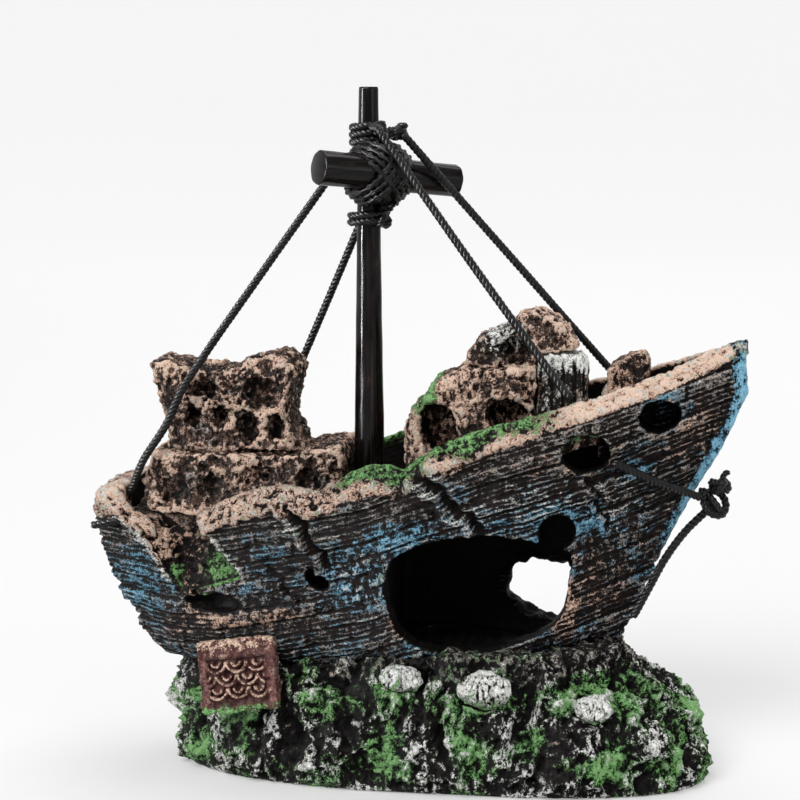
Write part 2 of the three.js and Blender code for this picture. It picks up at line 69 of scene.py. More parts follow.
def aim(made, direction):
    """Turns a camera or a light so that it faces along a direction."""
    made.rotation_mode = "QUATERNION"
    made.rotation_quaternion = direction.to_track_quat("-Z", "Y")


# ---- Camera ----

CAMERA_AZIMUTH = math.radians(8)
CAMERA_ELEVATION = math.radians(8)
CAMERA_DISTANCE = 0.365
CAMERA_TARGET = Vector((-0.004, 0, 0.0702))
CAMERA_LENS = 86.4


def make_camera():
    flat = math.cos(CAMERA_ELEVATION)
    x, y = math.sin(CAMERA_AZIMUTH) * flat, -math.cos(CAMERA_AZIMUTH) * flat
    back = Vector((x, y, math.sin(CAMERA_ELEVATION)))
    camera = linked("camera", bpy.data.cameras.new("camera"))
    camera.data.lens = CAMERA_LENS
    camera.data.clip_start = 0.01
    camera.location = CAMERA_TARGET + back * CAMERA_DISTANCE
    aim(camera, -back)
    bpy.context.scene.camera = camera


# ---- Small tools for arrays ----


def ramp(value, low, high):
    """0 below low and 1 above high, with a soft step between; low may be the larger one."""
    t = np.clip((value - low) / (high - low), 0, 1)
    return t * t * (3 - 2 * t)


def cloud(points, size, octaves=1, stretch=(1, 1, 1), shift=0.0):
    """Smooth noise, mostly from -0.7 to 0.7, whose features are about size millimetres."""
    scaled = points / (size * np.array(stretch)) + shift
    return np.array([noise.fractal(p, 1.0, 2.0, octaves) for p in scaled.tolist()])


def cells(points, size, stretch=(1, 1, 1), shift=0.0):
    """Distance to the middle of the nearest cell, in cell sizes; noise bends the cells."""
    bend = np.stack([cloud(points, size, 2, shift=shift + k) for k in (0, 17, 31)], 1)
    scaled = (points + size * 0.45 * bend) / (size * np.array(stretch)) + shift
    return np.array([noise.voronoi(p)[0][0] for p in scaled.tolist()])


def off_line(value, spacing):
    """Distance to the nearest of the lines halfway between multiples of spacing."""
    return np.abs((value / spacing) % 1 - 0.5) * spacing


def patch(points, x, z, radius_x, radius_z):
    """1 in the middle of an oval patch, seen from the side, and 0 outside it."""
    away = np.hypot((points[:, 0] - x) / radius_x, (points[:, 2] - z) / radius_z)
    return np.clip(1.8 * (1 - away), 0, 1)


def beside_line(points, start, end):
    """Share of the way along a line in the side view, and the distance to its upper right, in mm."""
    first, last = np.array(start, float), np.array(end, float)
    run = last - first
    length = np.linalg.norm(run)
    away = points[:, [0, 2]] - first
    return away @ run / length**2, (away[:, 1] * run[0] - away[:, 0] * run[1]) / length


# ---- Small tools for meshes ----


def smooth_path(route, step=0.4):
    """Points every step millimetres along a smooth curve through the points of a route."""
    points = np.array(route, float)
    gaps = np.linalg.norm(np.diff(points, axis=0), axis=1)
    at = np.concatenate([[0], np.cumsum(gaps)])
    slopes = np.gradient(points, at, axis=0)
    places = np.linspace(0, at[-1], max(3, round(at[-1] / step) + 1))
    span = np.clip(np.searchsorted(at, places, side="right") - 1, 0, len(gaps) - 1)
    width = gaps[span][:, None]
    t = (places[:, None] - at[span][:, None]) / width
    return (
        (2 * t**3 - 3 * t**2 + 1) * points[span]
        + (t**3 - 2 * t**2 + t) * width * slopes[span]
        + (3 * t**2 - 2 * t**3) * points[span + 1]
        + (t**3 - t**2) * width * slopes[span + 1]
    )


def path_frames(path):
    """Two directions across a path at each of its points, which turn as little as they can."""
    along = np.gradient(path, axis=0)
    along /= np.linalg.norm(along, axis=1)[:, None]
    side = np.cross(along[0], (0.3, 0.5, 0.81))
    sides = []
    for direction in along:
        side = side - direction * side.dot(direction)
        side = side / np.linalg.norm(side)
        sides.append(side)
    sides = np.array(sides)
    return sides, np.cross(along, sides)


def wall_faces(rings, sides):
    """Four-sided faces between neighbouring rings of vertices."""
    faces = []
    for here in range(0, (rings - 1) * sides, sides):
        for k in range(sides):
            after = (k + 1) % sides
            faces.append((here + k, here + after, here + sides + after, here + sides + k))
    return faces


def closed_faces(rings, sides):
    """Faces of a closed tube: the wall between its rings of vertices and a cap at each end."""
    caps = [tuple(reversed(range(sides))), tuple(range((rings - 1) * sides, rings * sides))]
    return wall_faces(rings, sides) + caps


def tube(path, radii, sides):
    """Vertices and faces of a closed tube along a path, with a radius for each of its points."""
    across, up = path_frames(path)
    angle = np.arange(sides) * TAU / sides
    ring = np.cos(angle)[None, :, None] * across[:, None] + np.sin(angle)[None, :, None] * up[:, None]
    vertices = (path[:, None] + radii[:, None, None] * ring).reshape(-1, 3)
    return vertices, closed_faces(len(path), sides)


STRANDS = 3
STRAND_SIDES = 7
# Distance of the strands from the cord's middle and their radius, as shares of the cord's radius
STRAND_OFFSET = 0.46
STRAND_RADIUS = 0.56


def rope(path, radius, pitch=3.0):
    """Tubes of a laid cord: its strands wind round the path once in each pitch."""
    across, up = path_frames(path)
    run = np.concatenate([[0], np.cumsum(np.linalg.norm(np.diff(path, axis=0), axis=1))])
    taper = ramp(run, -0.6, 0.5) * ramp(run[-1] - run, -0.6, 0.5)
    tubes = []
    for strand in range(STRANDS):
        angle = (TAU * (run / pitch + strand / STRANDS))[:, None]
        offset = STRAND_OFFSET * radius * (np.cos(angle) * across + np.sin(angle) * up)
        tubes.append(tube(path + offset, STRAND_RADIUS * radius * taper, STRAND_SIDES))
    return tubes


def piece(name, parts, material, body, slot, *nodes):
    """A new piece from one or more (vertices in mm, faces), which stands for CAD nodes."""
    vertices, faces = [], []
    for part_vertices, part_faces in parts:
        start = len(vertices)
        vertices.extend((np.asarray(part_vertices) * MM).tolist())
        faces.extend(tuple(k + start for k in face) for face in part_faces)
    mesh = bpy.data.meshes.new(name)
    mesh.from_pydata(vertices, [], faces)
    mesh.shade_smooth()
    return adopt(linked(name, mesh), material, body, slot, *nodes)


def adopt(made, material, body, slot, *nodes):
    """Gives a piece its material and body, and hides the CAD nodes that it stands for; slot is not used."""
    made.data.materials.clear()
    made.data.materials.append(material)
    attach(made, body)
    if nodes:
        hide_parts(*nodes)
    return made


# ---- Shader tools ----


class Shader:
    """A material's node tree, with short ways to add nodes and join them."""

    def __init__(self, name):
        self.material = bpy.data.materials.new(name)
        self.material.use_nodes = True
        self.tree = self.material.node_tree
        self.tree.nodes.clear()

    def add(self, kind, inputs=None, **settings):
        """A node with its settings; inputs gives sockets, numbers or colours by input name."""
        node = self.tree.nodes.new(kind)
        for key, value in settings.items():
            setattr(node, key, value)
        for key, value in (inputs or {}).items():
            self.join(value, node.inputs[key])
        return node

    def join(self, value, socket):
        if isinstance(value, bpy.types.NodeSocket):
            self.tree.links.new(value, socket)
        else:
            socket.default_value = value

    def math(self, operation, first, second=0.0):
        node = self.add("ShaderNodeMath", operation=operation)
        self.join(first, node.inputs[0])
        self.join(second, node.inputs[1])
        return node.outputs[0]

    def sum(self, *terms):
        """Sum of (socket, factor) pairs."""
        total = 0.0
        for socket, factor in terms:
            node = self.add("ShaderNodeMath", operation="MULTIPLY_ADD")
            self.join(socket, node.inputs[0])
            self.join(factor, node.inputs[1])
            self.join(total, node.inputs[2])
            total = node.outputs[0]
        return total

    def remap(self, value, low, high, to_low=0.0, to_high=1.0):
        inputs = {"Value": value, "From Min": low, "From Max": high, "To Min": to_low, "To Max": to_high}
        return self.add("ShaderNodeMapRange", inputs, interpolation_type="SMOOTHSTEP").outputs[0]

    def mix(self, share, first, second):
        """Number between first, at share 0, and second, at share 1."""
        node = self.add("ShaderNodeMix", data_type="FLOAT")
        self.join(share, node.inputs[0])
        self.join(first, node.inputs[2])
        self.join(second, node.inputs[3])
        return node.outputs[0]

    def blend(self, share, first, second):
        node = self.add("ShaderNodeMix", data_type="RGBA")
        self.join(share, node.inputs[0])
        self.join(first, node.inputs[6])
        self.join(second, node.inputs[7])
        return node.outputs[2]

    def attribute(self, name):
        return self.add("ShaderNodeAttribute", attribute_name=name).outputs["Fac"]

    def place(self, stretch=(1, 1, 1)):
        """The surface point in millimetres, divided by stretch."""
        point = self.add("ShaderNodeTexCoord").outputs["Object"]
        node = self.add("ShaderNodeVectorMath", {0: point}, operation="MULTIPLY")
        node.inputs[1].default_value = [PER_MM / s for s in stretch]
        return node.outputs[0]

    def cloud(self, place, size, detail=3.0, roughness=0.55):
        inputs = {"Vector": place, "Scale": 1 / size, "Detail": detail, "Roughness": roughness}
        return self.add("ShaderNodeTexNoise", inputs).outputs[0]

    def cells(self, place, size):
        inputs = {"Vector": place, "Scale": 1 / size}
        return self.add("ShaderNodeTexVoronoi", inputs).outputs["Distance"]

    def finish(self, colour, roughness, height, bump_depth, strength=1.0, **principled):
        """Ends the tree with a glossy-plastic shader and a bump bump_depth millimetres deep."""
        inputs = {"Height": height, "Distance": bump_depth * MM, "Strength": strength}
        bump = self.add("ShaderNodeBump", inputs)
        inputs = {"Base Color": colour, "Roughness": roughness, "Normal": bump.outputs[0]}
        inputs.update({key.replace("_", " "): value for key, value in principled.items()})
        shader = self.add("ShaderNodeBsdfPrincipled", inputs)
        return self.end(shader.outputs[0])

    def end(self, surface):
        """The finished material, with the socket of its surface shader joined to the output."""
        self.add("ShaderNodeOutputMaterial", {"Surface": surface})
        return self.material


def colour(code):
    """Linear colour of a six-digit sRGB code."""
    parts = [int(code[k : k + 2], 16) / 255 for k in (0, 2, 4)]
    return [*(c / 12.92 if c <= 0.04045 else ((c + 0.055) / 1.055) ** 2.4 for c in parts), 1.0]


# ---- Cord ----

CORD_DIAMETER = 1.6
CORD_RADIUS = CORD_DIAMETER / 2

YARD_HEADING = math.radians(38)
YARD_TILT = math.radians(5.5)
YARD_ALONG = np.array(
    (
        math.cos(YARD_HEADING) * math.cos(YARD_TILT),
        math.sin(YARD_HEADING) * math.cos(YARD_TILT),
        -math.sin(YARD_TILT),
    )
)

ROUTES = {
    "stay_aft_starboard": [
        (-54.3, -8.4, 53.7),
        (-51, -12.4, 59.5),
        (-46.3, -12.4, 66.7),
        (-43.2, -11.6, 73.5),
        (-40, -10.6, 78.5),
        (-28.9, -7.9, 94.6),
        (-14.4, -4, 115.4),
    ],
    "stay_aft_port": [(-13, 3.9, 101.6), (-24.8, 10.8, 76.6), (-35.6, 14.6, 53.2)],
    "stay_fore_starboard": [(-6.5, -7.8, 120.5), (11.3, -11.2, 96.2), (28.9, -14.2, 73)],
    "stay_fore_port": [(-1.2, -5.4, 118.6), (17, 3.4, 96.9), (35.2, 11.6, 75.4)],
    "stern_cord_end": [(-57.4, -14.8, 47.8), (-60.5, -14.9, 47.4)],
    "bow_line": [
        (37, -15.6, 61.8),
        (40.8, -13.6, 59.8),
        (45.2, -10.4, 57.4),
        (49.6, -6.6, 55.2),
        (52.8, -4, 53.6),
    ],
    "stem_line": [
        (54.2, -1.9, 51),
        (50.2, -2.9, 47),
        (46.6, -3.8, 42),
        (43.6, -4.9, 36.4),
        (40.8, -5.9, 31),
    ],
}
# Points ahead of a route where the cord's end sinks out of sight, in resin or in a winding
ROOTS = {
    "stay_aft_starboard": [(-55.4, -7.1, 51.8)],
    "stay_aft_port": [(-11.8, 3.2, 104.2)],
    "stay_fore_port": [(-2.6, -6.1, 120.3)],
    "stern_cord_end": [(-54.5, -13.6, 48.3)],
}
STAYS = [name for name in ROUTES if name.startswith("stay_")]


def cord_material():
    """Waxed black cotton: fine fibres round the strands, with a dull sheen."""
    s = Shader("waxed_cord")
    fibres = s.cloud(s.place(), 0.12, 4.0, 0.7)
    worn = s.cloud(s.place(), 2.4, 3.0)
    grey = s.remap(s.sum((fibres, 0.7), (worn, 0.5)), 0.5, 0.85)
    tone = s.blend(grey, colour("050505"), colour("242221"))
    gloss = s.remap(worn, 0.3, 0.7, 0.26, 0.42)
    return s.finish(tone, gloss, fibres, 0.06, 0.5, Specular_IOR_Level=0.24)


def make_cords(material):
    for name, route in ROUTES.items():
        path = smooth_path(ROOTS.get(name, []) + route)
        made = piece(name + "_cord", rope(path, CORD_RADIUS), material, "ship", "cord", name)
        if name in STAYS:
            length = np.linalg.norm(np.diff(path, axis=0), axis=1).sum() * MM


def turns(centre, long, short, count, rise, lead=0.0):
    """A winding of count oval turns whose half-axes are long and short, which climbs by rise a turn."""
    long, short = np.array(long, float), np.array(short, float)
    normal = np.cross(long, short)
    normal /= np.linalg.norm(normal)
    angle = np.linspace(0, TAU * count, round(28 * count)) + lead
    climb = (angle - angle.mean()) / TAU * rise
    flat = np.array(centre) + np.cos(angle)[:, None] * long + np.sin(angle)[:, None] * short
    return flat + climb[:, None] * normal


def overhand_knot(centre, size, count=60):
    """Closed path of a simple knot about size millimetres in radius."""
    t = np.linspace(0, TAU, count)
    x = np.sin(t) + 2 * np.sin(2 * t)
    y = np.cos(t) - 2 * np.cos(2 * t)
    z = -1.4 * np.sin(3 * t)
    return np.array(centre) + np.stack([x, y, z], 1) * size / 3


def joined(*paths):
    """One smooth path through the points of several."""
    return smooth_path(np.concatenate([np.array(path) for path in paths]))


MASTHEAD_RADIUS = 2.35
MASTHEAD_HITCH_Z = 119.9
LOWER_HITCH_Z = 104.6
# How far the turns round the yard reach behind and in front of the mast's middle
LASHING_BACK = 3.3
LASHING_FRONT = 9.9
# Each winding of the lashing: its lean along the yard, number of turns and size
LASHINGS = [(1, 4.2, 1.0), (-1, 3.2, 1.0), (0.7, 3.2, 0.9), (-0.7, 2.4, 0.9)]


def make_masthead(material, mast_x):
    """The turns and knots on the mast, above and below the yard."""
    wound = MASTHEAD_RADIUS + CORD_RADIUS * 0.8
    top = turns((mast_x, 0, MASTHEAD_HITCH_Z), (wound, 0, 0), (0, wound, 0), 3.2, 1.35, lead=-1.6)
    to_stay = [(-8.6, -4.2, 121.6), (-7, -6.4, 121.2), (-6.3, -8, 120.3)]
    parts = rope(joined(top, to_stay), CORD_RADIUS)
    parts += rope(smooth_path([(-8.4, -2.6, 120.6), (-6.2, -3.6, 120.4), (-4.2, -4.3, 119.8)]), CORD_RADIUS)
    piece("masthead_hitch_cord", parts, material, "ship", "cord", "masthead_hitch")

    loose = wound + 0.4
    low = turns((mast_x, 0, LOWER_HITCH_Z), (loose, 0, 0), (0, loose, 0), 2.3, 1.2)
    parts = rope(low, CORD_RADIUS)
    parts += rope(overhand_knot((mast_x + 2.9, -1.9, LOWER_HITCH_Z - 0.4), 1.3), 0.6)
    piece("lower_hitch_cord", parts, material, "ship", "cord", "lower_hitch")

    parts = rope(overhand_knot((-3.9, -4.4, 120.4), 1.5), 0.68)
    parts += rope(smooth_path([(-4.5, -4.6, 120.7), (-3, -5, 121.9), (-1.9, -5.2, 121.7)]), 0.6)
    piece("masthead_knot_cord", parts, material, "ship", "cord", "masthead_knot")


def make_lashing(material, mast_x):
    """Crossed sets of turns that hold the yard to the mast."""
    out = np.array((math.sin(YARD_HEADING), -math.cos(YARD_HEADING), 0))
    along = np.array((math.cos(YARD_HEADING), math.sin(YARD_HEADING), 0))
    yard_low, yard_high = box_mm("yard")
    middle = np.array((mast_x, 0, (yard_low[2] + yard_high[2]) / 2))
    centre = middle + out * (LASHING_FRONT - LASHING_BACK) / 2
    reach = (LASHING_FRONT + LASHING_BACK) / 2
    parts = []
    for lean, count, size in LASHINGS:
        short = along * 3.9 * lean - np.array((0, 0, 4.6))
        parts += rope(turns(centre, out * size * reach, short * size, count, 1.3, lead=lean), CORD_RADIUS)
    piece("yard_lashing_cord", parts, material, "yard", "cord", "yard_lashing")


def make_bow_knot(material):
    """The knot at the stem: a tight knot, a hanging loop and one short end."""
    parts = rope(overhand_knot((56.3, -2.4, 55.6), 1.7), 0.72)
    parts += rope(turns((55.5, -2.4, 52.3), (1.7, 0, -1.7), (1.3, 1.2, 1.4), 1.0, 0.9), 0.78)
    parts += rope(turns((54.6, -2.2, 52.6), (1.2, -0.4, -1.9), (-1, 1.3, 0.4), 1.2, 0.8), 0.7)
    parts += rope(smooth_path([(56.6, -2.4, 56.4), (57.2, -2.5, 58), (58, -2.6, 58.3)]), 0.6)
    piece("bow_knot_cord", parts, material, "ship", "cord", "bow_knot")


def make_windings(material):
    low, high = box_mm("mast")
    mast_x = (low[0] + high[0]) / 2
    make_masthead(material, mast_x)
    make_lashing(material, mast_x)
    make_bow_knot(material)


# ---- Mast and yard ----


SPAR_SIDES = 48


def spar(start, end, radius_start, radius_end, facets, seed):
    """A hand-cut round bar with long flats, small dents and slightly worn ends."""
    start, end = np.array(start, float), np.array(end, float)
    length = np.linalg.norm(end - start)
    axis = (end - start) / length
    across = np.cross(axis, (0.2, 0.9, 0.1))
    across /= np.linalg.norm(across)
    up = np.cross(axis, across)

    # Rings at shares of the length: three close ones round off each end
    rings = round(length / 0.6)
    inset = [0.93, 0.985, 1.0]
    shares = np.concatenate([[0, 0.002, 0.006], np.linspace(0.012, 0.988, rings), [0.994, 0.998, 1]])
    scale = np.concatenate([inset, np.ones(rings), inset[::-1]])
    vertices = []
    for share, factor in zip(shares, scale):
        base = radius_start + (radius_end - radius_start) * share
        for turn in np.arange(SPAR_SIDES) * TAU / SPAR_SIDES:
            dent = noise.fractal((math.cos(turn) + seed, math.sin(turn), share * length / 9), 1.0, 2.0, 2)
            flat = 0.035 * abs(math.sin(turn * facets / 2 + 0.4 * math.sin(share * 5 + seed)))
            radius = base * factor * (0.97 + flat + 0.03 * dent)
            direction = math.cos(turn) * across + math.sin(turn) * up
            vertices.append(start + axis * share * length + direction * radius)
    return vertices, closed_faces(len(shares), SPAR_SIDES)


def spar_material(name, along):
    """Varnished, almost black wood: grain streaks the way that along marks, rubbed brown in places."""
    s = Shader(name)
    grain = s.cloud(s.place([14 if c else 1 for c in along]), 0.5, 4.0, 0.65)
    streak = s.cloud(s.place([60 if c else 1.4 for c in along]), 1.0, 2.0)
    rubbed = s.cloud(s.place(), 5.0, 3.0)
    tone = s.blend(s.remap(grain, 0.35, 0.75), colour("060505"), colour("1C1514"))
    tone = s.blend(s.remap(s.sum((rubbed, 0.8), (grain, 0.4)), 0.72, 0.9), tone, colour("4A322D"))
    tone = s.blend(s.remap(streak, 0.62, 0.8), tone, colour("332B2B"))
    gloss = s.remap(s.sum((rubbed, 0.6), (grain, 0.4)), 0.3, 0.75, 0.12, 0.34)
    return s.finish(tone, gloss, grain, 0.05, 0.4, Specular_IOR_Level=0.16)


MAST_TAPER = 0.59
YARD_HALF = 14.6


def make_spars():
    low, high = box_mm("mast")
    middle_x = (low[0] + high[0]) / 2
    foot = (high[0] - low[0]) / 2
    shape = spar((middle_x, 0, low[2]), (middle_x, 0, high[2]), foot, foot * MAST_TAPER, 7, 3)
    piece("mast_spar", [shape], spar_material("mast_wood", (0, 0, 1)), "ship", "spar", "mast")

    low, high = box_mm("yard")
    middle = (low + high) / 2
    radius = ((high[2] - low[2]) / 2 - YARD_HALF * math.sin(YARD_TILT)) / math.cos(YARD_TILT)
    run = YARD_ALONG * YARD_HALF
    shape = spar(middle - run, middle + run, radius * 0.99, radius * 0.95, 8, 11)
    piece("yard_spar", [shape], spar_material("yard_wood", (1, 1, 0)), "yard", "spar", "yard")


# ---- Resin: carving and painting ----


def fine_copy(node, voxel, soften=2):
    """A copy of a CAD node with an even skin of small faces, its edges softened as a casting's are."""
    made = linked(node + "_resin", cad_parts[node].data.copy())
    remesh = made.modifiers.new("remesh", "REMESH")
    remesh.mode = "VOXEL"
    remesh.voxel_size = voxel * MM
    soft = made.modifiers.new("soften", "SMOOTH")
    soft.iterations = soften
    graph = bpy.context.evaluated_depsgraph_get()
    mesh = bpy.data.meshes.new_from_object(made.evaluated_get(graph))
    made.modifiers.clear()
    made.data = mesh
    mesh.shade_smooth()
    return made


def read_vectors(owner, key):
    values = np.zeros(len(owner) * 3, np.float32)
    owner.foreach_get(key, values)
    return values.reshape(-1, 3).astype(float)


def points_and_normals(mesh):
    """Vertices in mm and their normals."""
    return read_vectors(mesh.vertices, "co") * PER_MM, read_vectors(mesh.vertex_normals, "vector")


def bulge(mesh, points, normals, rounds):
    """How far each point stands out of the surface smoothed by that many rounds, in mm."""
    edges = np.zeros(len(mesh.edges) * 2, np.int32)
    mesh.edges.foreach_get("vertices", edges)
    ends, others = edges[0::2], edges[1::2]
    here, there = np.concatenate([ends, others]), np.concatenate([others, ends])
    count = np.maximum(np.bincount(here, minlength=len(points)), 1)
    smooth = points.copy()
    for _ in range(rounds):
        total = [np.bincount(here, smooth[there, axis], len(points)) for axis in range(3)]
        smooth = 0.4 * smooth + 0.6 * np.stack(total, 1) / count[:, None]
    return ((points - smooth) * normals).sum(1)


def write_points(mesh, points):
    mesh.vertices.foreach_set("co", (points * MM).astype(np.float32).ravel())
    mesh.update()


def set_attribute(mesh, name, values):
    """Stores a number for each vertex; values may be one number for all of them."""
    attribute = mesh.attributes.new(name, "FLOAT", "POINT")
    attribute.data.foreach_set("value", np.full(len(mesh.vertices), values, np.float32))


NEAR_ROUNDS = 6
FAR_ROUNDS = 60


def carve(node, voxel, sculpt, material, slot, soften=2, crest_tan=0.0, black_at=-1.3):
    """Makes the resin piece of a CAD node: sculpt gives its height map in mm and its paints, 0 to 1.

    Crests get crest_tan more of the tan paint, and hollows get painted shade, black where they are black_at
    mm deep.
    """
    made = fine_copy(node, voxel, soften)
    mesh = made.data
    points, normals = points_and_normals(mesh)
    height, paints = sculpt(points, normals)
    points = points + normals * height[:, None]
    points[:, 2] = np.maximum(points[:, 2], 0)
    write_points(mesh, points)
    points, normals = points_and_normals(mesh)
    near = bulge(mesh, points, normals, NEAR_ROUNDS)
    far = bulge(mesh, points, normals, FAR_ROUNDS)
    set_attribute(mesh, "ridge", np.clip(0.5 + 1.6 * near + 0.35 * far, 0, 1))
    # Painted shade: hollows darken towards black, the deeper they lie under the smoothed surface
    paints["painted_shade"] = np.maximum(paints.get("painted_shade", 0), 0.92 * ramp(far, 0.25 * black_at, black_at))
    paints["tan"] = paints.get("tan", 0) + crest_tan * (ramp(far, 0.1, 0.7) - 0.3)
    for name, values in paints.items():
        set_attribute(mesh, name, values)
    return adopt(made, material, "ship", slot, node)


# Each paint's dark and light colour and the size of its patches in mm
PAINTS = {
    "umber": ("2A201C", "6E574B", 3.0),
    "grey": ("45413F", "BBB3AC", 2.4),
    "tan": ("7C5A4C", "E9CBB6", 2.2),
    "blue": ("1F4C62", "8AC0DA", 1.8),
    "moss": ("18420F", "86B676", 1.4),
    "white": ("8C8C87", "F8F8F4", 1.1),
}
COVERED = 1.93  # score at which a paint sticks, and the half-width of its edge
EDGE = 0.08
THICK = 0.75  # how far past that score a paint has its light colour
GRAIN = 1.02  # distance between lines of grain in mm


def painted_resin(name, base_dark, base_light, bump_depth, paints, grained=False):
    """Resin under a black wash, with dry-brushed layers of paint that catch only its high spots, and
    painted shade laid over them.
    """
    s = Shader(name)
    place = s.place()
    speck = s.remap(s.cloud(place, 0.34, 3.0, 0.7), 0.34, 0.66)
    blotch = s.cloud(place, 4.0, 4.0)
    lumps = s.remap(s.cloud(s.place((1, 1, 1.5)), 0.95, 4.0, 0.65), 0.32, 0.68)
    crumbs = s.sum((speck, 0.34), (lumps, 0.66))
    micro = s.mix(s.attribute("rim"), wood_relief(s, speck), crumbs) if grained else crumbs
    pick = s.sum((s.attribute("ridge"), 0.6), (micro, 1.0))
    haze = s.remap(s.sum((micro, 0.6), (blotch, 0.6)), 0.42, 0.85)
    tone = s.blend(haze, colour(base_dark), colour(base_light))
    for paint in paints:
        dark, light, size = PAINTS[paint]
        breakup = s.cloud(s.place((1.3, 1.3, 1)), size, 5.0, 0.65)
        score = s.sum((pick, 1.0), (s.attribute(paint), 1.0), (breakup, 1.0))
        mask = s.remap(score, COVERED - EDGE, COVERED + EDGE)
        thickness = s.remap(s.sum((score, 1.0), (speck, 0.3)), COVERED, COVERED + THICK)
        shade = s.blend(thickness, colour(dark), colour(light))
        tone = s.blend(mask, tone, shade)
    # Painted shade: near-black over the paints where the shade attribute read here is high, in hollows and
    # inside
    painted_shade = s.attribute("painted_shade")
    tone = s.blend(painted_shade, tone, colour("070606"))
    gloss = s.remap(s.sum((blotch, 0.7), (speck, 0.3)), 0.3, 0.7, 0.42, 0.75)
    height = s.math("MULTIPLY", micro, s.sum((painted_shade, -0.8), (1.0, 1.0)))
    return s.finish(tone, gloss, height, bump_depth, 0.9, Specular_IOR_Level=0.08)


def wood_relief(s, speck):
    """Fine lines of grain that follow the planking, broken into short strokes."""
    depth = s.attribute("strake")
    x = s.add("ShaderNodeSeparateXYZ", {"Vector": s.place()}).outputs[0]
    wander = s.cloud(s.place((2.5, 2.5, 1)), 1.6, 3.0)
    phase = s.sum((depth, TAU / GRAIN), (wander, 5.0))
    wave = s.sum((s.math("SINE", phase), 0.5), (1.0, 0.5))
    lines = s.math("POWER", wave, 2.0)
    bent = s.sum((depth, 1.0), (wander, 0.8))
    along = s.sum((x, 0.36), (wander, 1.5))
    across = s.add("ShaderNodeCombineXYZ", {"X": along, "Y": 0.0, "Z": bent}).outputs[0]
    strokes = s.remap(s.cloud(across, 0.45, 4.0, 0.7), 0.34, 0.66)
    return s.sum((lines, 0.34), (strokes, 0.33), (speck, 0.33))


# ---- Hull ----

PLANK = 3.1
PLANK_LENGTH = 17
PLANK_SHIFT = 9.7  # how far the joints of a course of planks lie ahead of those of the course below
BAND = 5.2  # depth of the worn rim under the rail, aft and forward
BAND_FORWARD = 3.4


def rail_curve(points):
    """The rail's height along the ship, from the highest points of the hull."""
    low, high = points[:, 0].min(), points[:, 0].max()
    grid = np.arange(low, high, 1.5)
    heights = [points[np.abs(points[:, 0] - x) < 1.2, 2].max() for x in grid]
    return lambda x: np.interp(x, grid, np.convolve(np.pad(heights, 1, "edge"), [0.25, 0.5, 0.25], "valid"))


def stem_curve(points):
    """The bow's forward edge at each height."""
    grid = np.arange(points[:, 2].min(), points[:, 2].max(), 2.0)
    edge = [points[np.abs(points[:, 2] - z) < 1.4, 0].max() for z in grid]
    return lambda z: np.interp(z, grid, edge)


# Cracks on the starboard side: start and end in the side view (x, z), groove depth and width
CRACKS = [
    ((1.5, 60), (13.5, 48.5), 1.5, 1.5),
    ((-22.5, 53.5), (-14.5, 41), 1.4, 1.3),
    ((32.3, 59), (35.8, 48), 0.9, 0.8),
    ((-26, 42), (-20, 33), 0.7, 0.7),
    ((-35, 46), (-30, 38.5), 0.4, 0.6),
]


def planking(points, strake):
    """Relief of the planks in mm: seams, joints, boards that stand proud and lines of grain."""
    x = points[:, 0]
    course = np.floor(strake / PLANK)
    along = x + course * PLANK_SHIFT
    seam = off_line(strake + PLANK * (0.5 + 0.05 * np.sin(x / 5)), PLANK)
    relief = 0.3 * np.sin(course * 2.4 + np.floor(along / PLANK_LENGTH) * 1.9)
    relief -= 0.42 * ramp(seam, 0.45, 0.1) + 0.35 * ramp(off_line(along, PLANK_LENGTH), 0.4, 0.1)
    return relief - 0.44 * off_line(strake + 0.4 * cloud(points, 4, 2, (2, 2, 1)), GRAIN) / GRAIN


def pits(points):
    """Relief of crumbled resin in mm: pits of two sizes, with raised ground between them."""
    near = cells(points, 2.2, (1.2, 1.2, 0.9))
    small = cells(points, 1.2, shift=4.2)
    return 0.35 - 0.9 * ramp(near, 0.42, 0.1) - 0.4 * ramp(small, 0.35, 0.1) + 0.25 * ramp(near, 0.3, 0.7)


def crack_relief(points):
    """Relief of the cracks in mm: a groove with a lifted lip beside it."""
    relief = np.zeros(len(points))
    for start, end, depth, width in CRACKS:
        share, right = beside_line(points, start, end)
        wobble = right + 0.5 * np.sin(share * 14) + 0.25 * np.sin(share * 31)
        groove = ramp(np.abs(wobble - width * 0.6), width * 0.75, width * 0.2)
        lip = ramp(np.abs(wobble + width * 0.7), width * 0.8, width * 0.25)
        relief += depth * ramp(share, -0.03, 0.05) * ramp(share, 1.05, 0.9) * (0.55 * lip - groove)
    return relief * ramp(points[:, 1], 1, -3)


# Middle and half-axes of the cave's port mouth in the side view
PORT_MOUTH = (24, 33, 8.4, 5.8)


def frayed_mouth(points):
    """Relief in mm that makes the edge of the cave's port mouth uneven."""
    x, y, z = points.T
    middle_x, middle_z, half_x, half_z = PORT_MOUTH
    away = np.hypot((x - middle_x) / half_x, (z - middle_z) / half_z) - 1
    return 1.5 * cloud(points, 3.4, 2, shift=8) * ramp(np.abs(away), 0.3, 0.08) * ramp(y, 3, 6)


